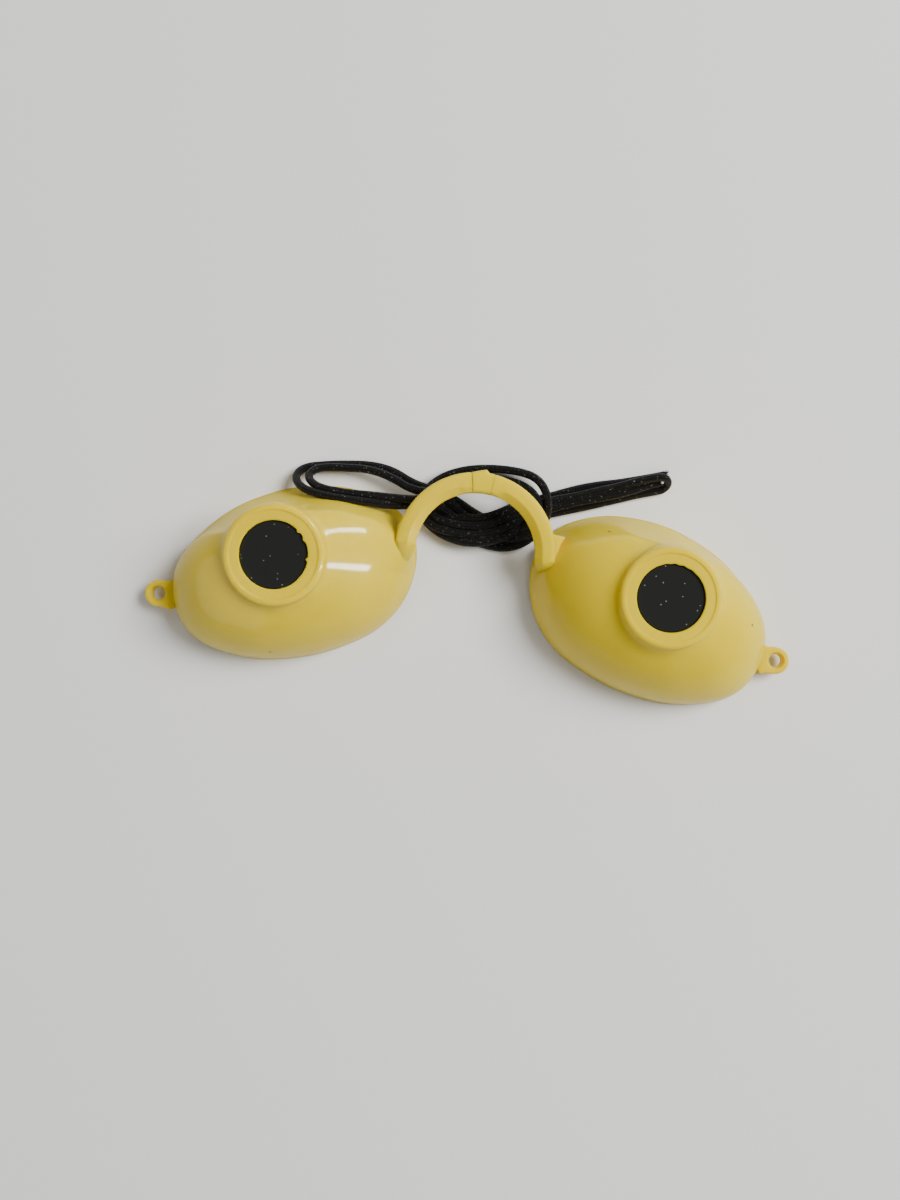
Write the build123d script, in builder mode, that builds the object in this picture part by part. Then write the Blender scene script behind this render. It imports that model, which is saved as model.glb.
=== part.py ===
from math import atan2, cos, degrees, hypot, pi, radians, sin, sqrt, tan
import os

from build123d import *

os.makedirs("parts", exist_ok=True)

# The goggles lie on their rims with the lenses up. X runs across the face, +Y is the brow side and
# Z = 0 is the surface they lie on. X = 0 is the middle of the nose, Y = 0 the line through both lenses.

# Eye cups
lens_spacing = 64.7
nasal_reach = 22.2
temple_reach = 19.8
brow_reach = 13.5
cheek_reach = 17.9
dome_height = 18.5
dome_power = 2.1
wall = 1.1
cavity_top = 15.6

# Brow wall
crease_height = 11.7
crease_inset = 4.0

# Rim
nasal_lift = 2.2
temple_lift = 0.9
flat_rim_nasal = 10.0
flat_rim_temple = 8.0

# Lens collar and lens
collar_diameter = 16.4
collar_draft = 4.0
collar_top = 19.0
collar_root = 12.6
collar_edge_radius = 0.5
lens_diameter = 11.2
lens_thickness = 1.6
lens_recess = 0.6
lens_clearance = 0.05
lens_edge = 0.2
window_diameter = 9.6

# Nose bridge
bridge_radius = 11.8
bridge_centre_y = 4.05
bridge_width = 3.5
bridge_thickness = 2.5
bridge_bottom = 8.6
bridge_edge_radius = 0.7
flex_line_y = 9.5
leg_end_y = 2.4
leg_depth = 2.0
leg_tip_inner_x = 11.2
leg_tip_outer_x = 13.2
leg_foot_length = 4.2
gusset_x = 14.9
gusset_start_y = 3.4
gusset_end_y = 8.5
gusset_bottom = 7.8
gusset_top = 10.6
gate_mark_radius = 0.7
gate_mark_height = 0.5

# Cord tabs
hole_x = 53.7
hole_y = -8.7
hole_diameter = 2.2
funnel_diameter = 2.9
funnel_depth = 0.8
tab_width = 4.6
tab_thickness = 2.2
tab_bottom = 1.4
tab_flare = 0.7
tab_straight = 1.3
tab_root_length = 2.9
tab_joint_gap = 0.3
tab_edge_radius = 0.4

# Elastic cord, folded in four and looped over itself as it was sold
cord_diameter = 1.4
cord_pitch = 1.95
knot_reach = 11.0
knot_y = 12.5
knot_rise = 4.1
right_fold_reach = 3.4
right_fold_spread = 0.35
bend_share = 0.45
fold_skip = 5.0

# One overrun serves every cut
overrun = 2.0

lens_x = lens_spacing / 2
leg_inner_x = bridge_radius - bridge_width / 2
leg_outer_x = bridge_radius + bridge_width / 2
bridge_top = bridge_bottom + bridge_thickness
lens_top = collar_top - lens_recess
seat_floor = lens_top - lens_thickness
seat_diameter = lens_diameter + 2 * lens_clearance
tab_top = tab_bottom + tab_thickness
tab_joint_x = hole_x - funnel_diameter / 2 - tab_joint_gap
crown_y = bridge_centre_y + bridge_radius + bridge_width / 2

# The rim seen from above, counterclockwise from the temple, as shares of the reaches from the lens centre
rim_shares = [
    (1.00, -0.24), (0.73, 0.34), (0.29, 0.80), (-0.22, 1.00), (-0.65, 0.90), (-0.93, 0.57),
    (-1.00, 0.00), (-0.84, -0.49), (-0.51, -0.79), (-0.09, -0.975), (0.41, -1.00), (0.81, -0.845),
    (0.98, -0.52),
]
# The brow edge of the rim, run on past the nasal and the temple end, and how much of the inset each point takes
brow_shares = [
    (-1.16, 0.12), (-0.95, 0.53), (-0.65, 0.90), (-0.22, 1.00), (0.29, 0.80), (0.73, 0.34), (1.06, -0.22),
]
brow_inset_shares = [0.0, 0.75, 1.0, 1.0, 1.0, 0.85, 0.0]
# Heights of the sections that shape the dome, as shares of its height
section_height_shares = [0.0, 0.22, 0.44, 0.64, 0.80, 0.90, 0.955]


def dome_shrink(height_share):
    """How far the dome has drawn in at a share of its height."""
    return (1 - height_share ** dome_power) ** (1 / dome_power)


def placed(share, inset=0.0, shrink=1.0):
    """A point of the right cup from its shares, drawn in by an inset from every side."""
    reach_x = (temple_reach if share[0] > 0 else nasal_reach) - inset
    reach_y = (brow_reach if share[1] > 0 else cheek_reach) - inset
    return (lens_x + shrink * share[0] * reach_x, shrink * share[1] * reach_y)


def brow_line(inset, height):
    """The brow wall's line at a height, as points that follow the rim."""
    points = []
    for share, inset_share in zip(brow_shares, brow_inset_shares):
        x, y = placed(share, inset)
        lean = crease_inset * inset_share * height / crease_height
        pull = lean / hypot(x - lens_x, y)
        points.append((x + (lens_x - x) * pull, y - y * pull))
    return points


def cup_form(inset):
    """The closed form of the right cup: a dome, cut off by the steep brow wall."""
    height = dome_height - inset
    with BuildPart() as form:
        for height_share in section_height_shares:
            with BuildSketch(Plane.XY.offset(height * height_share)):
                with BuildLine():
                    points = [placed(share, inset, dome_shrink(height_share)) for share in rim_shares]
                    Spline(*points, periodic=True)
                make_face()
        loft()
        for level in (0, height):
            with BuildSketch(Plane.XY.offset(level)):
                with BuildLine():
                    line = brow_line(inset, level)
                    brow = Spline(*line)
                    far_y = -cheek_reach - overrun
                    Polyline(brow @ 1, (line[-1][0], far_y), (line[0][0], far_y), brow @ 0)
                make_face()
        loft(ruled=True, mode=Mode.INTERSECT)
    return form.part


def bar_profile():
    """The bridge bar seen from above: an arch over the nose with two legs that taper towards the cups."""
    with BuildSketch(mode=Mode.PRIVATE) as profile:
        with Locations((0, bridge_centre_y)):
            Circle(bridge_radius + bridge_width / 2)
            Circle(bridge_radius - bridge_width / 2, mode=Mode.SUBTRACT)
            Rectangle(
                2 * bridge_radius + bridge_width, bridge_radius + bridge_width,
                align=(Align.CENTER, Align.MAX), mode=Mode.SUBTRACT,
            )
        for side in (-1, 1):
            with BuildLine():
                Polyline(
                    (side * leg_inner_x, bridge_centre_y), (side * leg_tip_inner_x, leg_end_y),
                    (side * leg_tip_outer_x, leg_end_y), (side * leg_outer_x, bridge_centre_y), close=True,
                )
            make_face()
    return profile.sketch


outer_form = cup_form(0)
inner_form = cup_form(wall)
bar = bar_profile()

# The whole arch as one bar with rounded edges, which the flex line then cuts into a crown and two legs
with BuildPart() as arch:
    with BuildSketch(Plane.XY.offset(bridge_bottom)):
        add(bar)
    extrude(amount=bridge_thickness)
    fillet(arch.edges().group_by(Axis.Z)[-1], bridge_edge_radius)
    fillet(arch.edges().group_by(Axis.Z)[0], bridge_edge_radius)

# Nose bridge: the crown of the arch, with the mark the mould's gate left on its outer edge
with BuildPart() as nose_bridge:
    add(arch.part)
    split(bisect_by=Plane.XZ.offset(-flex_line_y), keep=Keep.BOTTOM)
    gate_plane = Plane(
        origin=(0, crown_y - gate_mark_height, bridge_bottom + bridge_thickness / 2), z_dir=(0, 1, 0),
    )
    with BuildSketch(gate_plane):
        Circle(gate_mark_radius)
    extrude(amount=2 * gate_mark_height)

# The right leg of the bridge, up to the flex line
with BuildPart() as leg:
    add(arch.part)
    split(bisect_by=Plane.XZ.offset(-flex_line_y), keep=Keep.TOP)
    split(bisect_by=Plane.YZ, keep=Keep.TOP)

# The whole right cord tab with its funnelled hole; a plane beside the hole parts it from its root on the cup
with BuildPart() as tab_form:
    with BuildSketch(Plane.XY.offset(tab_bottom)):
        with BuildLine():
            half = tab_width / 2
            straight_x = hole_x - tab_straight
            root_x = hole_x - tab_root_length
            Line((hole_x, hole_y + half), (straight_x, hole_y + half))
            TangentArc((straight_x, hole_y + half), (root_x, hole_y + half + tab_flare), tangent=(-1, 0))
            Line((root_x, hole_y + half + tab_flare), (root_x, hole_y - half - tab_flare))
            TangentArc((straight_x, hole_y - half), (root_x, hole_y - half - tab_flare), tangent=(-1, 0))
            Line((straight_x, hole_y - half), (hole_x, hole_y - half))
            ThreePointArc((hole_x, hole_y - half), (hole_x + half, hole_y), (hole_x, hole_y + half))
        make_face()
    extrude(amount=tab_thickness)
    outer_ends = tab_form.edges().group_by(Axis.Z)
    fillet(outer_ends[-1].filter_by(lambda edge: edge.center().X > root_x + tab_joint_gap), tab_edge_radius)
    outer_ends = tab_form.edges().group_by(Axis.Z)
    fillet(outer_ends[0].filter_by(lambda edge: edge.center().X > root_x + tab_joint_gap), tab_edge_radius)
    with Locations((hole_x, hole_y, tab_top)):
        CounterSinkHole(
            hole_diameter / 2, funnel_diameter / 2,
            counter_sink_angle=2 * degrees(atan2((funnel_diameter - hole_diameter) / 2, funnel_depth)),
        )

with BuildPart() as right_cord_tab:
    add(tab_form.part)
    split(bisect_by=Plane.YZ.offset(tab_joint_x), keep=Keep.TOP)

with BuildPart() as tab_root:
    add(tab_form.part)
    split(bisect_by=Plane.YZ.offset(tab_joint_x), keep=Keep.BOTTOM)

# The hollow for the eye, closed at the top by the ledge the lens rests on
with BuildPart() as hollow:
    add(inner_form)
    split(bisect_by=Plane.XY.offset(cavity_top), keep=Keep.BOTTOM)

# Right eye cup: the dome with its lens collar, the leg of the bridge and the root of the cord tab
with BuildPart() as right_eyecup:
    add(outer_form)
    with BuildSketch(Plane.XY.offset(collar_top)):
        with Locations((lens_x, 0)):
            Circle(collar_diameter / 2)
    extrude(amount=collar_root - collar_top, taper=-collar_draft)
    fillet(right_eyecup.edges().filter_by(GeomType.CIRCLE).sort_by(Axis.Z)[-1], collar_edge_radius)
    add(tab_root.part)
    add(right_cord_tab.part, mode=Mode.SUBTRACT)
    add(leg.part)
    # The foot that carries the leg down to the dome
    with BuildSketch(Plane.XY.offset(bridge_bottom - leg_depth)):
        with BuildLine():
            Polyline(
                (leg_inner_x, leg_end_y + leg_foot_length), (leg_inner_x, bridge_centre_y),
                (leg_tip_inner_x, leg_end_y), (leg_tip_outer_x, leg_end_y),
                (leg_outer_x, bridge_centre_y), (leg_outer_x, leg_end_y + leg_foot_length), close=True,
            )
        make_face()
    extrude(amount=leg_depth + bridge_edge_radius)
    # The gusset between the leg and the brow wall
    with BuildSketch(Plane.XY.offset(gusset_bottom)):
        with BuildLine():
            Polyline(
                (bridge_radius, gusset_start_y), (leg_tip_outer_x, gusset_start_y),
                (gusset_x, gusset_end_y), (bridge_radius, gusset_end_y), close=True,
            )
        make_face()
    extrude(amount=gusset_top - gusset_bottom)
    # The hollow, the seat of the lens and the window under it
    add(hollow.part, mode=Mode.SUBTRACT)
    with BuildSketch(Plane.XY.offset(seat_floor)):
        with Locations((lens_x, 0)):
            Circle(seat_diameter / 2)
    extrude(amount=collar_top - seat_floor + overrun, mode=Mode.SUBTRACT)
    with BuildSketch(Plane.XY.offset(cavity_top - overrun)):
        with Locations((lens_x, 0)):
            Circle(window_diameter / 2)
    extrude(amount=seat_floor - cavity_top + 2 * overrun, mode=Mode.SUBTRACT)
    # The rim rises off the table towards the nose and towards the temple
    with BuildSketch(Plane.XZ):
        for way, flat, reach, lift in (
            (-1, flat_rim_nasal, nasal_reach, nasal_lift), (1, flat_rim_temple, temple_reach, temple_lift),
        ):
            flat_x = lens_x + way * flat
            end_x = lens_x + way * reach
            with BuildLine():
                TangentArc((flat_x, 0), (end_x, lift), tangent=(way, 0))
                Polyline(
                    (end_x, lift), (end_x + way * overrun, lift), (end_x + way * overrun, -overrun),
                    (flat_x, -overrun), (flat_x, 0),
                )
            make_face()
    extrude(amount=cheek_reach + overrun, both=True, mode=Mode.SUBTRACT)

# Right lens: a dark disc let into the collar
with BuildPart() as right_lens:
    with BuildSketch(Plane.XY.offset(seat_floor)):
        with Locations((lens_x, 0)):
            Circle(lens_diameter / 2)
    extrude(amount=lens_thickness)
    chamfer(right_lens.edges(), lens_edge)

# The left side mirrors the right
with BuildPart() as left_eyecup:
    mirror(right_eyecup.part, about=Plane.YZ)

with BuildPart() as left_cord_tab:
    mirror(right_cord_tab.part, about=Plane.YZ)

with BuildPart() as left_lens:
    mirror(right_lens.part, about=Plane.YZ)

# The strands run two abreast in two rows. Every stop on the way through the knot is a share of the knot's reach
# from its middle across the face, the same towards the brow, and a share of the rise the upper pass takes.
knot_shares = [
    (-1.36, 0.30, 1.0), (-0.82, -0.02, 1.0), (-0.29, -0.42, 1.0), (0.27, -0.66, 1.0), (0.78, -0.45, 1.0),
    (1.00, 0.03, 1.0), (0.85, 0.48, 0.95), (0.35, 0.70, 0.7), (-0.33, 0.70, 0.35), (-0.85, 0.48, 0.05),
    (-1.00, 0.03, 0.0), (-0.78, -0.45, 0.0), (-0.27, -0.66, 0.0), (0.29, -0.42, 0.0), (0.82, -0.02, 0.0),
    (1.36, 0.30, 0.0), (2.05, 0.48, 0.0), (2.73, 0.68, 0.0),
]
# The folds at the left end, from the knot round and back again
lower_fold_shares = [
    (-1.86, 0.52, 0.61), (-2.41, 0.67, 0.07), (-3.04, 0.67, 0.0), (-3.04, 0.22, 0.0), (-2.41, 0.22, 0.10),
    (-1.86, 0.28, 0.61),
]
upper_fold_shares = [
    (-1.86, 0.52, 0.61), (-2.41, 0.64, 0.07), (-2.95, 0.64, 0.0), (-2.95, 0.25, 0.0), (-2.41, 0.25, 0.10),
    (-1.86, 0.30, 0.61),
]


def cord_stop(share, row):
    """A stop of the cord in the lower row (0) or the upper row (1)."""
    x_share, y_share, lift_share = share
    height = cord_diameter / 2 + row * cord_pitch + lift_share * knot_rise
    return (x_share * knot_reach, knot_y + y_share * knot_reach, height)


def strand(side, row):
    """One strand of the bundle, half a pitch to the left (1) or to the right (-1) of the way of the knot."""
    stops = [cord_stop(share, row) for share in knot_shares]
    result = []
    for number, (x, y, z) in enumerate(stops):
        before = stops[max(0, number - 1)]
        after = stops[min(len(stops) - 1, number + 1)]
        here_in = atan2(y - before[1], x - before[0]) if number > 0 else atan2(after[1] - y, after[0] - x)
        here_out = atan2(after[1] - y, after[0] - x) if number < len(stops) - 1 else here_in
        half_turn = atan2(sin(here_out - here_in), cos(here_out - here_in)) / 2
        across = here_in + half_turn + pi / 2
        reach = side * cord_pitch / 2 / cos(half_turn)
        result.append((x + reach * cos(across), y + reach * sin(across), z))
    return result


def right_fold():
    """The two corners where the cord turns back at the right end, from the lower row to the upper row."""
    end_x, end_y, end_z = cord_stop(knot_shares[-1], 0)
    last_x, last_y, last_z = cord_stop(knot_shares[-2], 0)
    way = atan2(end_y - last_y, end_x - last_x)
    across = cord_pitch / 2 + right_fold_spread
    corners = []
    for side, row in ((-1, 0), (1, 1)):
        corners.append((
            end_x + right_fold_reach * cos(way) - side * across * sin(way),
            end_y + right_fold_reach * sin(way) + side * across * cos(way),
            end_z + row * cord_pitch,
        ))
    return corners


def bend_radii(stops):
    """A radius for every corner, as wide as the shorter run beside it allows."""
    radii = []
    for before, here, after in zip(stops, stops[1:], stops[2:]):
        run_in = Vector(*here) - Vector(*before)
        run_out = Vector(*after) - Vector(*here)
        half_turn = radians(run_in.get_angle(run_out)) / 2
        radii.append(bend_share * min(run_in.length, run_out.length) / tan(half_turn))
    return radii


lower_fold = [cord_stop(share, 0) for share in lower_fold_shares]
upper_fold = [cord_stop(share, 1) for share in upper_fold_shares]
cord_stops = (
    strand(1, 0)[::-1] + lower_fold + strand(-1, 0) + right_fold() + strand(1, 1)[::-1] + upper_fold + strand(-1, 1)
)
cord_radii = bend_radii(cord_stops)

# Elastic cord: one unbroken round cord with both ends cut at the right
with BuildPart() as elastic_cord:
    with BuildLine():
        route = FilletPolyline(*cord_stops, radius=cord_radii)
    with BuildSketch(Plane(origin=route @ 0, z_dir=route % 0)):
        Circle(cord_diameter / 2)
    sweep(path=route)

# The cord's own gap, measured between points along it that are further apart than a tight fold
sample_count = int(route.length / (cord_diameter / 4))
samples = [route.position_at(number / sample_count) for number in range(sample_count + 1)]
skip = int(fold_skip / route.length * sample_count)
least = min(
    (samples[first] - samples[second]).length
    for first in range(sample_count)
    for second in range(first + skip, sample_count + 1)
)
print("cord length", round(route.length, 1))
print("cord radii", [round(radius, 1) for radius in cord_radii])
print("least gap of the cord to itself", round(least - cord_diameter, 2))

nose_bridge.part.label = "nose_bridge"
left_eyecup.part.label = "left_eyecup"
right_eyecup.part.label = "right_eyecup"
left_cord_tab.part.label = "left_cord_tab"
right_cord_tab.part.label = "right_cord_tab"
left_lens.part.label = "left_lens"
right_lens.part.label = "right_lens"
elastic_cord.part.label = "elastic_cord"

export_step(nose_bridge.part, "parts/nose_bridge.step")
export_step(left_eyecup.part, "parts/left_eyecup.step")
export_step(right_eyecup.part, "parts/right_eyecup.step")
export_step(left_cord_tab.part, "parts/left_cord_tab.step")
export_step(right_cord_tab.part, "parts/right_cord_tab.step")
export_step(left_lens.part, "parts/left_lens.step")
export_step(right_lens.part, "parts/right_lens.step")
export_step(elastic_cord.part, "parts/elastic_cord.step")
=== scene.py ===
# %% [markdown]
# # Tanning goggles, piece by piece
# The goggles are one soft yellow moulding: two eye cups, two lens collars, two cord tabs and a thin arched
# bridge. A dark lens sits in each collar and a black braided elastic, still knotted as it was sold, lies
# loose behind the bridge. Each cell builds or finishes one of these, in metres, in the frame of the CAD
# model.

# %% Load the frame
from math import atan2, cos, exp, hypot, pi, radians, sin, sqrt, tan

import bmesh
import bpy
from mathutils import Matrix, Vector


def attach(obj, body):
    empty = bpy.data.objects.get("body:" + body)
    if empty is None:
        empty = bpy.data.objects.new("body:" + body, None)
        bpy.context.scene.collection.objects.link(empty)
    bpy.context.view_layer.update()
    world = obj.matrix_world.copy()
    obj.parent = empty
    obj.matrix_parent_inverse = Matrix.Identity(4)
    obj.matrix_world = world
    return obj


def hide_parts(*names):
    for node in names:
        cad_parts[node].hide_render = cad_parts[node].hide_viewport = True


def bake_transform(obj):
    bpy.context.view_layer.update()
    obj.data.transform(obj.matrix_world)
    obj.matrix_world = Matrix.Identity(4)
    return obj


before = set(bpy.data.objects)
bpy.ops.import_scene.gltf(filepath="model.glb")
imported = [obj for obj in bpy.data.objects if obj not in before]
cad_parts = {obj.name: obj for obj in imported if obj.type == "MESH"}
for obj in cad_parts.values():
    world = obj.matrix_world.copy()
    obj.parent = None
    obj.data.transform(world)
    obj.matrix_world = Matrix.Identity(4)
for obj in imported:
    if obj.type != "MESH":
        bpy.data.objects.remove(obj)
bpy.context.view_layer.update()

MM = 0.001

# %% [markdown]
# ## Camera
# The photograph looks straight down from about a quarter of a metre, turned a little, so the goggles tilt
# in the picture. A real lens and sensor size are used instead of an orthographic camera, because the tall
# collars lean outwards in the picture and only a near camera with perspective does that.

# %% Camera
lens_data = bpy.data.cameras.new("camera")
lens_data.lens = 40.9
lens_data.sensor_width = 36
lens_data.shift_x = -0.0178
lens_data.shift_y = -0.0122
lens_data.clip_start = 0.01
camera = bpy.data.objects.new("camera", lens_data)
camera.location = (0, -1.45 * MM, 239 * MM)
camera.rotation_euler = (0, 0, radians(6.24))
bpy.context.collection.objects.link(camera)
bpy.context.scene.camera = camera
print("camera at", tuple(round(value, 3) for value in camera.location))

# %% [markdown]
# ## Floor and light
# A plain pale floor shows soft shadows without drawing the eye. One soft lamp from the temple side of the
# right cup does most of the work. A glossy dome works as a mirror, so what the left one mirrors is lit
# apart: two tubes make its streaks, and a wide pale wall makes its temple side greyer. These lamps only
# show in the gloss of that moulding, which is quicker to place than a whole room. The room itself is darker
# straight overhead, where the photographer stood, so the flat lenses stay dark.

# %% Floor
floor_bm = bmesh.new()
bmesh.ops.create_grid(floor_bm, x_segments=1, y_segments=1, size=6)
floor_mesh = bpy.data.meshes.new("floor")
floor_bm.to_mesh(floor_mesh)
floor_bm.free()
floor = bpy.data.objects.new("floor", floor_mesh)
bpy.context.collection.objects.link(floor)
floor_finish = bpy.data.materials.new("floor_paper")
floor_finish.use_nodes = True
floor_shader = floor_finish.node_tree.nodes["Principled BSDF"]
floor_shader.inputs["Base Color"].default_value = (0.88, 0.87, 0.85, 1)
floor_shader.inputs["Roughness"].default_value = 0.8
floor_mesh.materials.append(floor_finish)
print("floor", tuple(floor.dimensions))


# %% Lamps
def panel(name, place, width, height, watts, along=(0, 0, 1)):
    """A flat lamp at a place, turned to the goggles, with its width along a direction."""
    data = bpy.data.lights.new(name, "AREA")
    data.shape = "RECTANGLE"
    data.size, data.size_y, data.energy = width, height, watts
    lamp = bpy.data.objects.new(name, data)
    back = Vector(place).normalized()
    side = Vector(along) - back * Vector(along).dot(back)
    side.normalize()
    up = back.cross(side)
    lamp.matrix_world = Matrix((
        (side.x, up.x, back.x, place[0]), (side.y, up.y, back.y, place[1]),
        (side.z, up.z, back.z, place[2]), (0, 0, 0, 1),
    ))
    bpy.context.collection.objects.link(lamp)
    return lamp


soft_lamps = [
    panel("key", (0.58, 0.30, 0.78), 0.50, 0.50, 15.5),
    panel("left_fill", (-0.62, -0.10, 0.85), 0.50, 0.40, 0.6),
    panel("brow_fill", (-0.20, 0.60, 0.95), 0.35, 0.20, 0.8, along=(1, 0.3, 0)),
    panel("cheek_fill", (0.30, -0.40, 0.95), 0.16, 0.16, 1.0),
]
for lamp in soft_lamps:
    lamp.visible_glossy = False
mirrored_lamps = [
    panel("temple_tube", (0.77, -0.13, 0.57), 0.57, 0.085, 19.0, along=(-0.35, 0, 0.57)),
    panel("brow_tube", (0.55, 0.70, 0.42), 0.46, 0.16, 20.0, along=(-0.32, 0.05, 0.33)),
    panel("temple_wall", (-1.23, -0.82, 0.62), 4.00, 1.30, 34.0, along=(0.554, -0.832, 0)),
]
print(len(soft_lamps), "soft lamps and", len(mirrored_lamps), "mirrored ones")

# %% The room: pale at the horizon and darker overhead
room_at_horizon, room_overhead = 0.26, 0.05
world = bpy.data.worlds.new("room")
bpy.context.scene.world = world
world.use_nodes = True
room = world.node_tree
room_place = room.nodes.new("ShaderNodeTexCoord")
room_parts = room.nodes.new("ShaderNodeSeparateXYZ")
room_shade = room.nodes.new("ShaderNodeMapRange")
room_shade.inputs["From Min"].default_value = 0.55
room_shade.inputs["From Max"].default_value = 0.97
room_shade.inputs["To Min"].default_value = room_at_horizon
room_shade.inputs["To Max"].default_value = room_overhead
room.nodes["Background"].inputs["Color"].default_value = (0.95, 0.96, 1.0, 1)
room.links.new(room_place.outputs["Generated"], room_parts.inputs["Vector"])
room.links.new(room_parts.outputs["Z"], room_shade.inputs["Value"])
room.links.new(room_shade.outputs["Result"], room.nodes["Background"].inputs["Strength"])
print("room light", room_at_horizon, "at the horizon and", room_overhead, "overhead")

# %% [markdown]
# ## The route of the elastic
# Elastic of this kind is a limp round cord about 1.4 mm thick. It was folded in four, the bundle was tied
# in one loose overhand knot, and it lies behind the bridge with its folds leaning on the left cup. Four
# bundled tubes would be easier, but a cord has only two ends, so one NURBS curve follows all of it. The
# stops through the knot are written once, for the middle of the bundle, and each of the four passes runs
# beside it. Where the bundle crosses itself its passes lie flat, four abreast, and elsewhere two on two, so
# every stop has a fan. The loose folds at both ends have stops of their own, chosen from the photograph.

# %% Stops of the bundle through the knot: x, y and lift in mm, spread of the passes, fan in degrees
knot_stops = [
    (-8.2, 13.1, 3.0, 1.0, 15), (-5.2, 11.6, 0.4, 1.0, 45), (-2.0, 9.3, 0.0, 1.0, 85),
    (2.2, 7.7, 0.0, 1.0, 88), (6.2, 7.8, 0.0, 1.0, 75), (9.9, 9.7, 1.7, 1.0, 20), (11.2, 13.3, 3.5, 1.1, 5),
    (9.2, 17.1, 2.5, 1.7, 5), (4.6, 18.3, 1.2, 1.3, 5), (-2.0, 18.1, 0.2, 1.0, 0),
    (-6.9, 16.2, 0.0, 1.0, 0), (-9.6, 13.2, 0.0, 0.95, 0), (-9.5, 10.2, 0.0, 1.0, 5),
    (-7.0, 8.3, 1.0, 1.0, 15), (-3.2, 7.9, 1.9, 1.0, 80), (0.8, 8.1, 2.2, 1.0, 90),
    (4.4, 9.6, 2.0, 1.0, 80), (7.2, 12.2, 1.0, 1.0, 30), (12.6, 14.1, 0.0, 1.0, 32),
]
cord_thickness = 1.4
pass_spacing = 1.45


def knot_pass(side, row):
    """One pass through the knot: side is 1 left of the way and -1 right of it, row is 0 below and 1 above.

    A fan of 0 degrees stacks the passes two on two, and one of 90 lays them four abreast.
    """
    stops = []
    for number, (x, y, lift, spread, fan) in enumerate(knot_stops):
        before = knot_stops[max(0, number - 1)]
        after = knot_stops[min(len(knot_stops) - 1, number + 1)]
        way = Vector((after[0] - before[0], after[1] - before[1])).normalized()
        out, up = (0.5 + sin(radians(fan)), 0.0) if row == 0 else (0.5, cos(radians(fan)))
        reach = side * spread * pass_spacing * out
        stops.append((x - way.y * reach, y + way.x * reach, cord_thickness / 2 + lift + pass_spacing * up))
    return stops


print(len(knot_stops), "stops in the knot, for each of four passes")

# %% Stops of the loose ends and folds, in mm
first_end = [
    (31.5, 21.4, 0.75), (29.6, 20.8, 0.7), (27.2, 20.1, 0.7), (23.6, 19.1, 0.7), (19.8, 18.3, 0.7),
    (16.2, 17.2, 0.7),
]
outer_fold = [
    (-12.0, 15.0, 3.3), (-15.6, 16.9, 1.9), (-19.5, 17.6, 0.9), (-24.5, 17.2, 0.7), (-28.4, 16.6, 0.7),
    (-31.0, 16.0, 0.9), (-32.4, 14.5, 2.2), (-31.8, 12.8, 4.2), (-29.4, 11.5, 6.3), (-25.4, 10.85, 7.6),
    (-20.5, 10.7, 7.4), (-15.8, 10.6, 6.3), (-12.0, 11.0, 4.6),
]
right_fold = [
    (16.9, 13.9, 0.75), (20.5, 15.1, 0.7), (24.4, 16.5, 0.7), (27.6, 17.6, 0.7), (30.0, 18.3, 0.72),
    (31.6, 18.8, 0.74), (32.25, 20.1, 2.05), (31.0, 20.85, 3.4), (28.5, 20.2, 3.1), (26.2, 19.4, 2.6),
    (23.4, 18.3, 2.1), (20.0, 17.2, 1.95), (16.4, 15.9, 1.95),
]
inner_fold = [
    (-12.0, 13.7, 4.9), (-15.6, 15.6, 3.5), (-19.8, 16.7, 2.3), (-24.2, 16.5, 2.1), (-26.8, 16.3, 2.1),
    (-29.0, 15.8, 2.4), (-30.2, 14.4, 3.6), (-29.0, 12.9, 5.3), (-26.4, 12.1, 6.7), (-22.6, 11.9, 6.7),
    (-18.5, 12.0, 6.3), (-15.0, 12.0, 5.9), (-11.8, 12.0, 6.1),
]
last_end = [
    (16.6, 14.9, 1.95), (20.2, 15.9, 1.95), (23.8, 17.0, 1.9), (26.4, 18.1, 1.9), (28.6, 19.1, 1.8),
    (30.0, 19.6, 1.7), (30.5, 19.75, 1.68),
]
route_stops = (
    first_end + knot_pass(1, 0)[::-1] + outer_fold + knot_pass(-1, 0) + right_fold
    + knot_pass(1, 1)[::-1] + inner_fold + knot_pass(-1, 1) + last_end
)
print(len(route_stops), "stops along the elastic")

# %% The curve of the elastic
route = bpy.data.curves.new("elastic_route", "CURVE")
route.dimensions = "3D"
route.resolution_u = 12
spline = route.splines.new("NURBS")
spline.points.add(len(route_stops) - 1)
for point, stop in zip(spline.points, route_stops):
    point.co = (stop[0] * MM, stop[1] * MM, stop[2] * MM, 1)
spline.order_u = 3
spline.use_endpoint_u = True
route_object = bpy.data.objects.new("elastic_route", route)
bpy.context.collection.objects.link(route_object)
print("curve", len(spline.points), "points")


# %% The line of the elastic, read without a bevel, and its tube
def mesh_of(source):
    """The mesh that Blender makes of a curve object, with its modifiers."""
    bpy.context.view_layer.update()
    graph = bpy.context.evaluated_depsgraph_get()
    return bpy.data.meshes.new_from_object(source.evaluated_get(graph))


line_mesh = mesh_of(route_object)
line = [tuple(v.co) for v in line_mesh.vertices]
least_step = 1e-6
line = line[:1] + [b for a, b in zip(line, line[1:]) if (Vector(b) - Vector(a)).length > least_step]
route.bevel_depth = cord_thickness / 2 * MM
route.bevel_resolution = 5
route.use_fill_caps = True
tube_mesh = mesh_of(route_object)
bpy.data.objects.remove(route_object)
bpy.data.meshes.remove(line_mesh)
elastic_length = 0.0
for a, b in zip(line, line[1:]):
    elastic_length += (Vector(b) - Vector(a)).length
print("elastic", round(elastic_length, 4), "m,", len(line), "points,", len(tube_mesh.vertices), "vertices")

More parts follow.
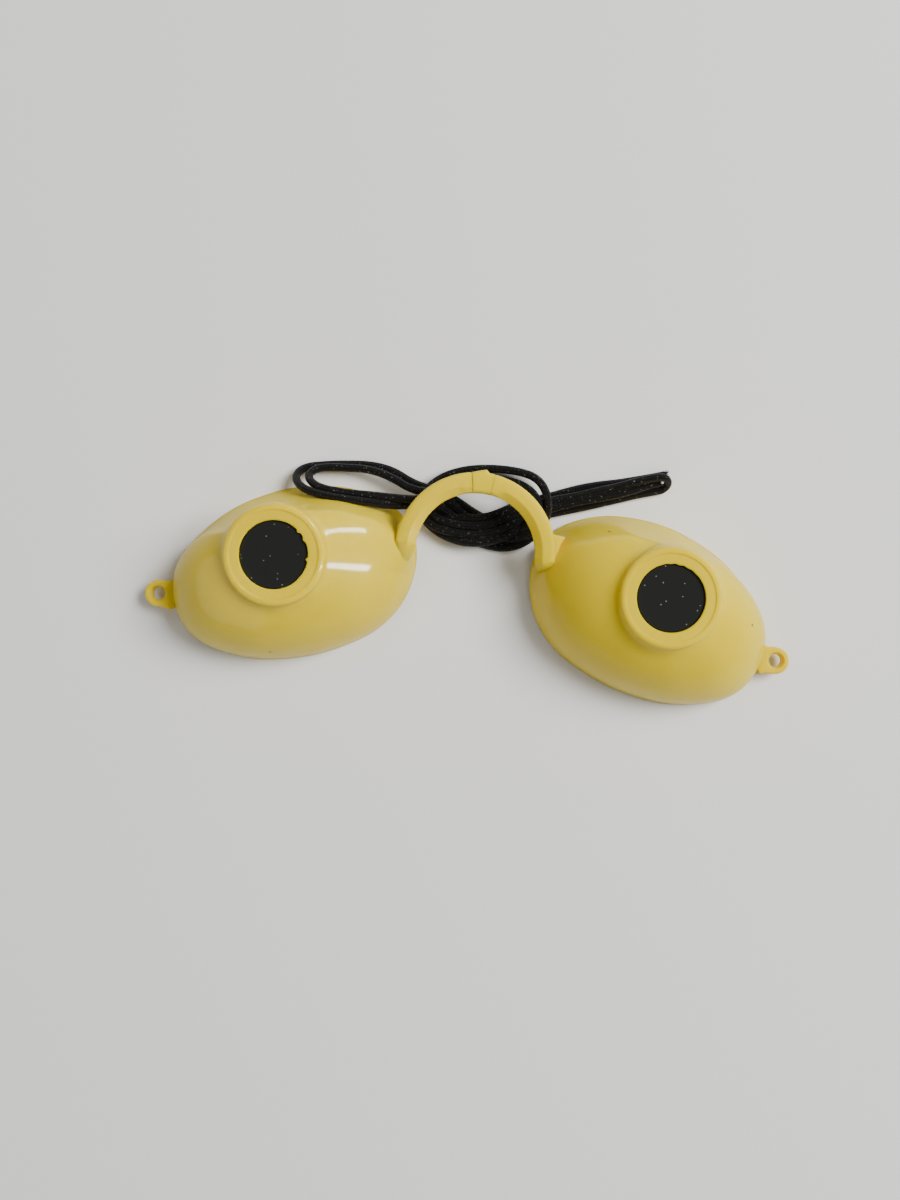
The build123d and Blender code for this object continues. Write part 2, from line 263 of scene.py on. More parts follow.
# %% [markdown]
# ## Finishes
# One soft yellow plastic serves the cups, collars, tabs and bridge. Light sinks a little way into it, so it
# has subsurface scattering under a smooth gloss. Colour could come from a painted image, but a node group
# needs no unwrapping and looks as fine from near: soft clouds of two near yellows, and a few dark specks
# caught in the plastic. The lenses and the elastic each have a group of their own, with the same three
# outputs, so one function makes all three materials.


# %% Small helpers for shader nodes
def add_node(tree, kind, place, **settings):
    """A node of a kind at a place, with its settings."""
    made = tree.nodes.new(kind)
    made.location = place
    for name, value in settings.items():
        setattr(made, name, value)
    return made


def new_look(name):
    """An empty shader group that puts out a finish's colour, roughness and relief."""
    look = bpy.data.node_groups.new(name, "ShaderNodeTree")
    look.interface.new_socket("Colour", in_out="OUTPUT", socket_type="NodeSocketColor")
    look.interface.new_socket("Roughness", in_out="OUTPUT", socket_type="NodeSocketFloat")
    look.interface.new_socket("Relief", in_out="OUTPUT", socket_type="NodeSocketFloat")
    return look


# %% Colour and fine relief of the yellow plastic
yellow_look = new_look("yellow_look")
place = add_node(yellow_look, "ShaderNodeTexCoord", (-900, 0))
clouds = add_node(yellow_look, "ShaderNodeTexNoise", (-700, 200))
clouds.inputs["Scale"].default_value = 90
clouds.inputs["Detail"].default_value = 3
cloud_colour = add_node(yellow_look, "ShaderNodeValToRGB", (-500, 200))
cloud_colour.color_ramp.elements[0].position = 0.35
cloud_colour.color_ramp.elements[0].color = (0.76, 0.55, 0.004, 1)
cloud_colour.color_ramp.elements[1].position = 0.68
cloud_colour.color_ramp.elements[1].color = (0.80, 0.59, 0.010, 1)
specks = add_node(yellow_look, "ShaderNodeTexVoronoi", (-700, -150))
specks.inputs["Scale"].default_value = 160
speck_size = add_node(yellow_look, "ShaderNodeMath", (-500, -150), operation="LESS_THAN")
speck_size.inputs[1].default_value = 0.05
speck_choice = add_node(yellow_look, "ShaderNodeSeparateColor", (-500, -330))
speck_few = add_node(yellow_look, "ShaderNodeMath", (-320, -330), operation="GREATER_THAN")
speck_few.inputs[1].default_value = 0.5
speck_mask = add_node(yellow_look, "ShaderNodeMath", (-160, -200), operation="MULTIPLY")
speckled = add_node(yellow_look, "ShaderNodeMix", (20, 150), data_type="RGBA")
speckled.inputs["B"].default_value = (0.12, 0.09, 0.03, 1)
grain = add_node(yellow_look, "ShaderNodeTexNoise", (-500, -560))
grain.inputs["Scale"].default_value = 900
grain.inputs["Detail"].default_value = 2
polish = add_node(yellow_look, "ShaderNodeMapRange", (-160, 420))
polish.inputs["To Min"].default_value = 0.45
polish.inputs["To Max"].default_value = 0.55
yellow_out = add_node(yellow_look, "NodeGroupOutput", (260, 100))
for start, end in (
    (place.outputs["Object"], clouds.inputs["Vector"]), (place.outputs["Object"], specks.inputs["Vector"]),
    (place.outputs["Object"], grain.inputs["Vector"]), (clouds.outputs["Fac"], cloud_colour.inputs["Fac"]),
    (specks.outputs["Distance"], speck_size.inputs[0]),
    (specks.outputs["Color"], speck_choice.inputs["Color"]),
    (speck_choice.outputs["Red"], speck_few.inputs[0]), (speck_size.outputs[0], speck_mask.inputs[0]),
    (speck_few.outputs[0], speck_mask.inputs[1]), (speck_mask.outputs[0], speckled.inputs["Factor"]),
    (cloud_colour.outputs["Color"], speckled.inputs["A"]), (clouds.outputs["Fac"], polish.inputs["Value"]),
    (speckled.outputs["Result"], yellow_out.inputs["Colour"]),
    (polish.outputs["Result"], yellow_out.inputs["Roughness"]),
    (grain.outputs["Fac"], yellow_out.inputs["Relief"]),
):
    yellow_look.links.new(start, end)
print("yellow look", len(yellow_look.nodes), "nodes")


# %% One function for all materials, and the yellow plastic
def finish_with(name, group, **values):
    """A material that takes colour, roughness and relief from a group, and the rest from values."""
    material = bpy.data.materials.new(name)
    material.use_nodes = True
    tree = material.node_tree
    shader = tree.nodes["Principled BSDF"]
    look = add_node(tree, "ShaderNodeGroup", (-500, 100))
    look.node_tree = group
    bump = add_node(tree, "ShaderNodeBump", (-250, -200))
    bump.inputs["Strength"].default_value = values.pop("bump")
    bump.inputs["Distance"].default_value = values.pop("bump_depth")
    edge_radius = values.pop("soft_edge", 0)
    if edge_radius:
        soft_edge = add_node(tree, "ShaderNodeBevel", (-500, -300), samples=6)
        soft_edge.inputs["Radius"].default_value = edge_radius
        tree.links.new(soft_edge.outputs["Normal"], bump.inputs["Normal"])
    for title, value in values.items():
        shader.inputs[title.replace("_", " ")].default_value = value
    tree.links.new(look.outputs["Colour"], shader.inputs["Base Color"])
    tree.links.new(look.outputs["Roughness"], shader.inputs["Roughness"])
    tree.links.new(look.outputs["Relief"], bump.inputs["Height"])
    tree.links.new(bump.outputs["Normal"], shader.inputs["Normal"])
    return material


yellow = finish_with(
    "yellow_plastic", yellow_look, bump=0.12, bump_depth=0.00005, Subsurface_Weight=0.35,
    Subsurface_Radius=(1.0, 0.75, 0.2), Subsurface_Scale=0.002, Specular_IOR_Level=0.1, Coat_Weight=0.3,
    Coat_Roughness=0.09, soft_edge=0.0004,
)
print("made", yellow.name)

# %% [markdown]
# ## The finish of the lenses
# The lenses are a plastic so dark that it looks black. It lets almost no light through, so glass would only
# cost time, and a plain dark surface with a dull gloss looks the same. A Voronoi texture with few and small
# cells left stands for the dust, which is paler and rougher than the lens.

# %% Colour and relief of the dark lenses: near black, a little dust
lens_look = new_look("lens_look")
place = add_node(lens_look, "ShaderNodeTexCoord", (-900, 0))
dust = add_node(lens_look, "ShaderNodeTexVoronoi", (-700, 0))
dust.inputs["Scale"].default_value = 1100
dust_size = add_node(lens_look, "ShaderNodeMath", (-500, 0), operation="LESS_THAN")
dust_size.inputs[1].default_value = 0.11
dust_choice = add_node(lens_look, "ShaderNodeSeparateColor", (-500, -180))
dust_few = add_node(lens_look, "ShaderNodeMath", (-320, -180), operation="GREATER_THAN")
dust_few.inputs[1].default_value = 0.45
dust_mask = add_node(lens_look, "ShaderNodeMath", (-160, -60), operation="MULTIPLY")
dusty = add_node(lens_look, "ShaderNodeMix", (20, 100), data_type="RGBA")
dusty.inputs["A"].default_value = (0.017, 0.018, 0.016, 1)
dusty.inputs["B"].default_value = (0.22, 0.22, 0.20, 1)
dull = add_node(lens_look, "ShaderNodeMapRange", (20, -160))
dull.inputs["To Min"].default_value = 0.32
dull.inputs["To Max"].default_value = 0.7
lens_out = add_node(lens_look, "NodeGroupOutput", (260, 0))
for start, end in (
    (place.outputs["Object"], dust.inputs["Vector"]), (dust.outputs["Distance"], dust_size.inputs[0]),
    (dust.outputs["Color"], dust_choice.inputs["Color"]), (dust_choice.outputs["Red"], dust_few.inputs[0]),
    (dust_size.outputs[0], dust_mask.inputs[0]), (dust_few.outputs[0], dust_mask.inputs[1]),
    (dust_mask.outputs[0], dusty.inputs["Factor"]), (dust_mask.outputs[0], dull.inputs["Value"]),
    (dusty.outputs["Result"], lens_out.inputs["Colour"]),
    (dull.outputs["Result"], lens_out.inputs["Roughness"]),
    (dust_mask.outputs[0], lens_out.inputs["Relief"]),
):
    lens_look.links.new(start, end)
dark_lens = finish_with("dark_lens", lens_look, bump=0.2, bump_depth=0.00002, Specular_IOR_Level=0.3)
print("made", dark_lens.name)

# %% [markdown]
# ## The finish of the elastic
# The elastic is a rubber core under a cover of fine black threads, braided both ways round it. Real threads
# would be thousands of turns of mesh. Two sets of slanting waves, one against the other, look the same from
# here, and they read the tube's own UV map, so they follow every bend. A little pale lint clings to the
# cover.

# %% Colour and relief of the elastic: a braid with a little lint
braid_look = new_look("braid_look")
stitches_along, stitches_round = 520, 4
round_and_along = add_node(braid_look, "ShaderNodeUVMap", (-1100, 0), uv_map="UVMap")
parts = add_node(braid_look, "ShaderNodeSeparateXYZ", (-900, 0))
along_turns = add_node(braid_look, "ShaderNodeMath", (-720, 120), operation="MULTIPLY")
along_turns.inputs[1].default_value = 2 * pi * stitches_along
round_turns = add_node(braid_look, "ShaderNodeMath", (-720, -60), operation="MULTIPLY")
round_turns.inputs[1].default_value = 2 * pi * stitches_round
one_way = add_node(braid_look, "ShaderNodeMath", (-540, 120), operation="ADD")
other_way = add_node(braid_look, "ShaderNodeMath", (-540, -60), operation="SUBTRACT")
one_wave = add_node(braid_look, "ShaderNodeMath", (-380, 120), operation="SINE")
other_wave = add_node(braid_look, "ShaderNodeMath", (-380, -60), operation="SINE")
weave = add_node(braid_look, "ShaderNodeMath", (-220, 40), operation="MULTIPLY")
place = add_node(braid_look, "ShaderNodeTexCoord", (-900, -400))
lint = add_node(braid_look, "ShaderNodeTexNoise", (-720, -400))
lint.inputs["Scale"].default_value = 3200
lint.inputs["Detail"].default_value = 1
lint_few = add_node(braid_look, "ShaderNodeMapRange", (-540, -400))
lint_few.inputs["From Min"].default_value = 0.70
lint_few.inputs["From Max"].default_value = 0.74
black_tone = add_node(braid_look, "ShaderNodeMapRange", (-60, 40))
black_tone.inputs["From Min"].default_value = -1.0
black_tone.inputs["To Min"].default_value = 0.003
black_tone.inputs["To Max"].default_value = 0.012
linted = add_node(braid_look, "ShaderNodeMix", (120, 100), data_type="RGBA")
linted.inputs["B"].default_value = (0.16, 0.17, 0.16, 1)
dullness = add_node(braid_look, "ShaderNodeValue", (120, -120))
dullness.outputs[0].default_value = 0.62
braid_out = add_node(braid_look, "NodeGroupOutput", (320, 0))
for start, end in (
    (round_and_along.outputs["UV"], parts.inputs["Vector"]), (parts.outputs["X"], along_turns.inputs[0]),
    (parts.outputs["Y"], round_turns.inputs[0]), (along_turns.outputs[0], one_way.inputs[0]),
    (round_turns.outputs[0], one_way.inputs[1]), (along_turns.outputs[0], other_way.inputs[0]),
    (round_turns.outputs[0], other_way.inputs[1]), (one_way.outputs[0], one_wave.inputs[0]),
    (other_way.outputs[0], other_wave.inputs[0]), (one_wave.outputs[0], weave.inputs[0]),
    (other_wave.outputs[0], weave.inputs[1]), (weave.outputs[0], black_tone.inputs["Value"]),
    (place.outputs["Object"], lint.inputs["Vector"]), (lint.outputs["Fac"], lint_few.inputs["Value"]),
    (black_tone.outputs["Result"], linted.inputs["A"]), (lint_few.outputs["Result"], linted.inputs["Factor"]),
    (linted.outputs["Result"], braid_out.inputs["Colour"]),
    (dullness.outputs[0], braid_out.inputs["Roughness"]),
    (weave.outputs[0], braid_out.inputs["Relief"]),
):
    braid_look.links.new(start, end)
elastic_finish = finish_with(
    "braided_elastic", braid_look, bump=0.5, bump_depth=0.00006, Specular_IOR_Level=0.2, Sheen_Weight=0.04,
    Sheen_Roughness=0.5,
)
print("made", elastic_finish.name)

# %% [markdown]
# ## The elastic as a piece
# The tube is a mesh, so it can bend: its left folds lean on the left cup, and the rest lies behind the
# bridge. Its length is taken along the route.

# %% The elastic
for face in tube_mesh.polygons:
    face.use_smooth = True
tube_mesh.materials.clear()
tube_mesh.materials.append(elastic_finish)
elastic = bpy.data.objects.new("elastic", tube_mesh)
bpy.context.collection.objects.link(elastic)
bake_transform(elastic)
print("elastic", len(tube_mesh.polygons), "faces")

# %% [markdown]
# ## The frayed ends
# The elastic was cut to length, so a few threads stand out of each end. Hair would do, but it isn't a mesh.
# Each thread here is one thin cone, turned a fixed step round the cord from the one before, so the result
# never changes.

# %% The frayed threads at the two cut ends
threads, thread_turn, steps_back = 9, 2.4, 8
least_lean, more_lean = 0.25, 0.5
least_length, more_length = 0.7, 0.5
thread_ring, thread_foot, thread_tip, middle_share = 0.45, 0.13, 0.05, 0.3
fray_bm = bmesh.new()
for end, before in ((line[0], line[steps_back]), (line[-1], line[-1 - steps_back])):
    out = (Vector(end) - Vector(before)).normalized()
    for number in range(threads):
        lean = least_lean + more_lean * ((number * 5) % threads) / threads
        aside = out.orthogonal().normalized()
        aside.rotate(Matrix.Rotation(thread_turn * number, 3, out))
        way = (out + aside * lean).normalized()
        depth = (least_length + more_length * ((number * 4) % threads) / threads) * MM
        start = Vector(end) + aside * thread_ring * MM * ((number % 3 + 1) / 3)
        turned = Vector((0, 0, 1)).rotation_difference(way).to_matrix().to_4x4()
        bmesh.ops.create_cone(
            fray_bm, cap_ends=True, segments=8, radius1=thread_foot * MM, radius2=thread_tip * MM,
            depth=depth, matrix=Matrix.Translation(start + way * depth * middle_share) @ turned,
        )
lowest = min(vert.co.z for vert in fray_bm.verts)
bmesh.ops.translate(fray_bm, verts=fray_bm.verts, vec=(0, 0, max(0, -lowest)))
fray_mesh = bpy.data.meshes.new("frayed_ends")
fray_bm.to_mesh(fray_mesh)
fray_bm.free()
fray_mesh.materials.append(elastic_finish)
frayed_ends = bpy.data.objects.new("frayed_ends", fray_mesh)
bpy.context.collection.objects.link(frayed_ends)
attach(frayed_ends, "bridge")
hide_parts("elastic_cord")
print("frayed ends", len(fray_mesh.polygons), "faces")

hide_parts("elastic_cord")
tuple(line[0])
print("elastic declared as a loose cord of", round(elastic_length, 3), "m")

# %% [markdown]
# ## The eye cups
# Each cup is a dome that a steep brow wall cuts off, with a collar for the lens on top. Booleans between
# the three would leave sharp, untidy seams where the mould has soft ones. But seen from above, every level
# of a cup is one closed line round the lens, so a cup is a stack of rings instead. At each angle the radius
# is the smaller of the dome and the brow wall, and the collar is the larger of that and a straight cone. A
# soft least and a soft most round the crease and the foot of the collar, as the mould does. Each ring grows
# from the last, from the rim up the outside, down into the lens seat and back inside.

# %% The rim of a cup in mm from the middle of its lens: x to the temple, y to the brow
rim_stops = [
    (19.8, -4.3), (14.45, 4.6), (5.75, 10.8), (-4.9, 13.5), (-14.4, 12.15), (-20.65, 7.7), (-22.2, 0.0),
    (-18.65, -8.75), (-11.3, -14.15), (-2.0, -17.45), (8.1, -17.9), (16.05, -15.1), (19.4, -9.3),
]
rim_curve = bpy.data.curves.new("rim_outline", "CURVE")
rim_curve.dimensions = "3D"
rim_curve.resolution_u = 32
rim_spline = rim_curve.splines.new("BEZIER")
rim_spline.bezier_points.add(len(rim_stops) - 1)
for point, stop in zip(rim_spline.bezier_points, rim_stops):
    point.co = (stop[0], stop[1], 0)
    point.handle_left_type = point.handle_right_type = "AUTO"
rim_spline.use_cyclic_u = True
rim_object = bpy.data.objects.new("rim_outline", rim_curve)
bpy.context.collection.objects.link(rim_object)
rim_mesh = mesh_of(rim_object)
rim_polar = sorted((atan2(v.co.y, v.co.x), hypot(v.co.x, v.co.y)) for v in rim_mesh.vertices)
(first_angle, first_reach), (last_angle, last_reach) = rim_polar[0], rim_polar[-1]
rim_polar = [(last_angle - 2 * pi, last_reach)] + rim_polar + [(first_angle + 2 * pi, first_reach)]
bpy.data.objects.remove(rim_object)
bpy.data.meshes.remove(rim_mesh)
print("rim", len(rim_polar), "points")


# %% Two helpers for forms: a table that is read between its pairs, and a rounded least
def between(table, where):
    """The value of a table of rising pairs at a place, straight between its pairs."""
    for (a, value_a), (b, value_b) in zip(table, table[1:]):
        if a <= where <= b:
            return value_a + (value_b - value_a) * (where - a) / max(b - a, 1e-9)
    return table[0][1] if where < table[0][0] else table[-1][1]


def soft_least(a, b, width):
    """The smaller of two numbers, rounded over a width."""
    share = max(width - abs(a - b), 0) / width
    return min(a, b) - share * share * width / 4


# %% The sizes of a cup, in mm
lens_x = 32.35
dome_height, dome_power, wall = 18.5, 2.1, 1.1
crease_height, crease_least_round, crease_round, crease_round_full = 11.7, 0.02, 0.5, 6
rim_flare, rim_flare_height, rim_rise_fade = 0.16, 0.9, 7
collar_top, collar_radius, collar_slope, collar_round = 19.0, 8.2, tan(radians(11)), 0.8
collar_from, cone_depth, collar_foot_round = 9.5, 2.5, 2.0
lens_level, seat_floor, seat_radius, window_radius = 18.4, 16.8, 5.65, 4.8
ceiling, ceiling_drop = 15.6, 0.05
# The rim is smoothed by the mean over these steps, in degrees
rim_smoothing = range(-8, 9, 2)
# The collar's flat face with its shallow step: radius, and depth under the top
face_rings = [(7.3, 0.0), (7.22, 0.12), (6.9, 0.12), (6.2, 0.12)]
# The collar's lip over the lens: level, and share of its reach
lip_rings = [(collar_top - 0.14, 0.8), (collar_top - 0.27, 1.0), (lens_level + 0.02, 1.0)]
# The seat of the lens, the window under it and the ceiling of the hollow: radius and level
seat_rings = [
    (seat_radius, lens_level - 0.02), (seat_radius, seat_floor), (window_radius, seat_floor),
    (window_radius, ceiling + 0.1), (window_radius + 0.1, ceiling), (6.5, ceiling),
]
# Where the dome swells into the bridge's leg: middle and half width, in degrees round and in mm up
root_angle, root_spread, root_level, root_height = 171, 9, 8.2, 2.8
# How far the brow wall leans in up to the crease, in mm, by degrees from the temple to the brow
left_lean = [
    (-180, 0.0), (-12, 0.0), (4, 2.0), (18, 4.2), (40, 4.9), (145, 4.9), (161, 3.7), (170, 1.5), (176, 0.0),
    (180, 0.0),
]
right_lean = [
    (-180, 0.0), (-12, 0.0), (4, 0.5), (18, 1.3), (40, 2.2), (65, 3.05), (92, 3.6), (108, 3.75), (124, 3.9),
    (140, 4.4), (150, 4.5), (161, 3.3), (170, 1.3), (176, 0.0), (180, 0.0),
]
print("dome", dome_height, "mm high, collar", collar_top, "mm, lens at", lens_level, "mm")


# %% The radius of a cup at a height, its lifted rim, and one more ring
def cup_radius(angle, rim, height, lean, skin=0.0):
    """The nearer of the dome and the brow wall at a height; the inner face lies a skin further in."""
    rise = min(height / (dome_height - skin), 1)
    dome = (rim - skin) * (1 - rise ** dome_power) ** (1 / dome_power)
    brow_wall = rim - skin - between(lean, angle * 180 / pi) * height / crease_height
    rounding = crease_least_round + crease_round * min(height / crease_round_full, 1)
    return soft_least(dome, brow_wall, rounding)


def rim_rise(x, height):
    """How far a point near the rim is lifted off the table, towards the nose and towards the temple."""
    flat, reach, lift = (10.0, 22.2, 2.2) if x < 0 else (8.0, 19.8, 0.9)
    run = max(abs(x) - flat, 0)
    arc = ((reach - flat) ** 2 + lift ** 2) / (2 * lift)
    fade = max(1 - height / rim_rise_fade, 0)
    return (arc - sqrt(arc * arc - run * run)) * fade * fade


def next_ring(bm, edges, place):
    """Grows a ring of edges once and sets each new vertex where place says for its angle."""
    grown = bmesh.ops.extrude_edge_only(bm, edges=edges)["geom"]
    verts = {item for item in grown if isinstance(item, bmesh.types.BMVert)}
    for vert in verts:
        vert.co = place(atan2(vert.co.y, vert.co.x))
    return [item for item in grown if isinstance(item, bmesh.types.BMEdge) and set(item.verts) <= verts]


# %% One cup with its collar
outer_levels = (
    [0.0, 0.25, 0.55, 0.9, 1.4] + [2.0 + 0.75 * step for step in range(15)]
    + [12.9 + 0.2 * step for step in range(27)]
)
inner_levels = [15.0, 14.0, 13.0, 12.0, 11.0, 10.0, 8.5, 7.0, 5.5, 4.0, 2.8, 1.8, 1.0, 0.4, 0.0]
cup_segments = 288
collar_round_steps = 8


def build_cup(bm, lean, trims, swelling, lip):
    """Adds a cup round the middle of its lens, trimmed a little at the temple and the brow.

    swelling is how far the dome swells where the leg runs into it. lip(angle) says how far the collar's
    lip reaches over the lens.
    """
    rims = {}

    def rim_at(angle):
        key = round(angle, 5)
        if key not in rims:
            trim = trims[0] * max(cos(angle), 0) ** 2 + trims[1] * max(sin(angle), 0) ** 2
            near = [(angle + radians(step) + pi) % (2 * pi) - pi for step in rim_smoothing]
            rims[key] = sum(between(rim_polar, place) for place in near) / len(near) - trim
        return rims[key]

    def outer(level):
        def place(angle):
            flare = rim_flare * max(1 - level / rim_flare_height, 0) ** 2
            off_root = (angle * 180 / pi - root_angle) / root_spread
            root = exp(-off_root ** 2 - ((level - root_level) / root_height) ** 2)
            radius = cup_radius(angle, rim_at(angle), level, lean) + flare + swelling * root
            if level > collar_from:
                cone = collar_radius + min(collar_top - level, cone_depth) * collar_slope
                radius = -soft_least(-radius, -cone, collar_foot_round)
            x, y = radius * cos(angle), radius * sin(angle)
            return (x, y, level + rim_rise(x, level))
        return place

    def circle(radius, level):
        return lambda angle: (radius * cos(angle), radius * sin(angle), level)

    def lip_ring(level, share):
        def place(angle):
            radius = seat_radius - share * lip(angle)
            return (radius * cos(angle), radius * sin(angle), level)
        return place

    def inner(level):
        def place(angle):
            radius = cup_radius(angle, rim_at(angle), level, lean, wall)
            x, y = radius * cos(angle), radius * sin(angle)
            return (x, y, level + rim_rise(x, level))
        return place

    first = bmesh.ops.create_circle(bm, segments=cup_segments, radius=1)["verts"]
    edges = list({edge for vert in first for edge in vert.link_edges})
    first_edges = edges
    start = outer(0.0)
    for vert in first:
        vert.co = start(atan2(vert.co.y, vert.co.x))
    for level in outer_levels[1:]:
        edges = next_ring(bm, edges, outer(level))
    for turn in range(1, collar_round_steps + 1):
        part = turn * pi / (2 * collar_round_steps)
        out, up = collar_round * (1 - cos(part)), collar_round * (1 - sin(part))
        radius = collar_radius + collar_round * collar_slope - out
        edges = next_ring(bm, edges, circle(radius, collar_top - up))
    for radius, drop in face_rings:
        edges = next_ring(bm, edges, circle(radius, collar_top - drop))
    for level, share in lip_rings:
        edges = next_ring(bm, edges, lip_ring(level, share))
    for radius, level in seat_rings:
        edges = next_ring(bm, edges, circle(radius, level))
    edges = next_ring(bm, edges, inner(ceiling - ceiling_drop))
    for level in inner_levels:
        edges = next_ring(bm, edges, inner(level))
    bmesh.ops.bridge_loops(bm, edges=first_edges + edges)


# %% [markdown]
# ## The cord tabs
# A tab is a flat tongue with a round end and a funnelled hole for the elastic. A cut through a box would
# leave the funnel with a hard edge, so its rings grow outwards from the hole, over the round end and back
# underneath. Its root widens where it runs into the cup.

# %% The outline of a cord tab, round the middle of its hole
tab_half_width, tab_root = 2.3, 3.0
tab_flare, tab_flare_from, tab_flare_length = 0.9, 1.4, 1.6
reach_step, reach_steps = 0.06, 60


def tab_reach(angle):
    """How far the tab reaches from the hole in a direction; the cup is at the side of angle pi."""
    if cos(angle) >= 0:
        return tab_half_width
    run = 0.0
    for step in range(reach_steps):
        run += reach_step
        widening = max(0, (run * -cos(angle) - tab_flare_from) / tab_flare_length)
        half = tab_half_width + tab_flare * widening ** 2
        if run * abs(sin(angle)) >= half or run * -cos(angle) >= tab_root:
            break
    return run


# %% One cord tab, ring by ring: a hole's ring has a radius, an edge's ring a distance in from the outline
tab_rings = [
    ("hole", 1.12, 1.5), ("hole", 1.1, 2.8), ("hole", 1.42, 3.5), ("hole", 1.52, 3.6), ("edge", 0.4, 3.6),
    ("edge", 0.2, 3.55), ("edge", 0.05, 3.4), ("edge", 0.0, 3.2), ("edge", 0.0, 1.8), ("edge", 0.05, 1.6),
    ("edge", 0.2, 1.45), ("edge", 0.4, 1.4), ("hole", 1.2, 1.4),
]
tab_segments = 96


def build_tab(bm):
    """Adds a cord tab round the middle of its hole."""
    def ring(kind, value, level):
        if kind == "hole":
            return lambda angle: (value * cos(angle), value * sin(angle), level)
        return lambda angle: (
            (tab_reach(angle) - value) * cos(angle), (tab_reach(angle) - value) * sin(angle), level,
        )

    circle = bmesh.ops.create_circle(bm, segments=tab_segments, radius=1)["verts"]
    first = edges = list({edge for vert in circle for edge in vert.link_edges})
    for vert in circle:
        vert.co = ring(*tab_rings[0])(atan2(vert.co.y, vert.co.x))
    for values in tab_rings[1:]:
        edges = next_ring(bm, edges, ring(*values))
    bmesh.ops.bridge_loops(bm, edges=first + edges)


# %% [markdown]
# ## The bridge
# The bridge is one bar along an arch, which then runs down into the dome as a tapering leg. Its section is
# a rounded box whose inner upper edge is cut back further, which gives the light facet along the inner
# side. A bevelled curve can't change its section on the way, so sections are set along the arch and
# bridged. The middle of the bar, between two fine steps, is a piece of its own with the small nub that the
# mould's gate left.

# %% Stations along the right half of the bar in mm: x, y, height of the middle, width, thickness, facet
arch_radius, arch_y = 11.8, 4.05
crown_end = 1.7
arch_end = (arch_radius, 4.6)
bar_level = 9.85
right_leg = [
    (11.84, 3.75, 9.7, 3.4, 2.5, 0.75), (11.92, 3.4, 9.4, 3.3, 2.6, 0.75),
    (12.02, 3.05, 8.9, 3.1, 2.8, 0.75), (12.12, 2.75, 8.2, 2.9, 3.0, 0.75),
    (12.2, 2.5, 7.3, 2.8, 3.0, 0.75), (12.25, 2.3, 6.2, 2.8, 2.6, 0.75),
]
left_leg = [
    (11.86, 4.2, 9.55, 3.5, 2.8, 0.75), (11.98, 3.7, 9.0, 3.55, 3.2, 0.7), (12.2, 3.1, 8.2, 3.5, 3.8, 0.65),
    (12.55, 2.4, 7.3, 3.2, 4.2, 0.6), (13.0, 1.6, 6.3, 2.6, 4.4, 0.6),
]
print("arch", 2 * arch_radius, "mm from leg to leg")


# %% One section of the bar, and the sweep through several
bar_segments, box_power, facet_slope = 40, 0.55, 1.1


def bar_section(bm, x, y, level, way, width, thickness, facet=0.75, hump=0.0):
    """One section, square to the way: a rounded box, its inner upper edge cut back by the facet."""
    across = Vector((-way[1], way[0]))
    ring = bmesh.ops.create_circle(bm, segments=bar_segments, radius=1)["verts"]
    for number, vert in enumerate(ring):
        turn = 2 * pi * (number + 0.5) / bar_segments
        side = abs(cos(turn)) ** box_power * (1 if cos(turn) > 0 else -1)
        rise = abs(sin(turn)) ** box_power * (1 if sin(turn) > 0 else -1)
        rise = min(rise, 1 - facet_slope * max(0, facet - 1 - side))
        reach = side * width / 2 + hump * max(side, 0)
        vert.co = (x + across.x * reach, y + across.y * reach, level + rise * thickness / 2)
    return ring


def ring_edges(ring):
    """The edges between the vertices of one ring."""
    members = set(ring)
    return list({edge for vert in ring for edge in vert.link_edges if set(edge.verts) <= members})


def sweep_bar(bm, stations):
    """Joins sections at the stations, each with its way, and closes both ends."""
    rings = [bar_section(bm, *station) for station in stations]
    for ring, after in zip(rings, rings[1:]):
        bmesh.ops.bridge_loops(bm, edges=ring_edges(ring) + ring_edges(after))
    for ring in (rings[0], rings[-1]):
        bmesh.ops.contextual_create(bm, geom=ring_edges(ring))


def arch_station(angle, width=3.5, thickness=2.5, facet=0.0, hump=0.0):
    """A station on the arch; the angle is measured from the middle of the crown towards the right cup."""
    x, y = arch_radius * sin(angle), arch_y + arch_radius * cos(angle)
    return (x, y, bar_level, (cos(angle), -sin(angle)), width, thickness, facet, hump)


# %% The arch with a leg
full_facet, facet_run_share = 0.75, 0.125
steps_on_arch = 31


def build_leg(bm, leg):
    """Adds the right half of the arch with a leg, which runs down into the dome."""
    first = crown_end / arch_radius
    stations = []
    for step in range(steps_on_arch):
        share = step / steps_on_arch
        facet = full_facet * min(1, share / facet_run_share)
        stations.append(arch_station(first + (pi / 2 - first) * share, facet=facet))
    path = [arch_end] + [station[:2] for station in leg]
    for number, (x, y, level, width, thickness, facet) in enumerate(leg):
        before = path[number]
        after = path[min(number + 2, len(path) - 1)]
        way = Vector((after[0] - before[0], after[1] - before[1])).normalized()
        stations.append((x, y, level, (way.x, way.y), width, thickness, facet))
    sweep_bar(bm, stations)


# %% The web beside the leg: its outline from above, in mm
web_floor, web_top, web_start, web_fall, web_round = 6.6, 10.75, 11.6, 0.22, 0.35
right_gusset = [
    (11.6, 8.9), (12.5, 8.6), (14.85, 8.35), (14.2, 7.0), (13.75, 5.4), (13.3, 3.6), (11.8, 3.4),
]
left_gusset = [
    (11.6, 8.2), (12.4, 8.0), (13.5, 7.2), (13.4, 6.2), (13.3, 5.2), (13.1, 4.4), (11.8, 4.2),
]


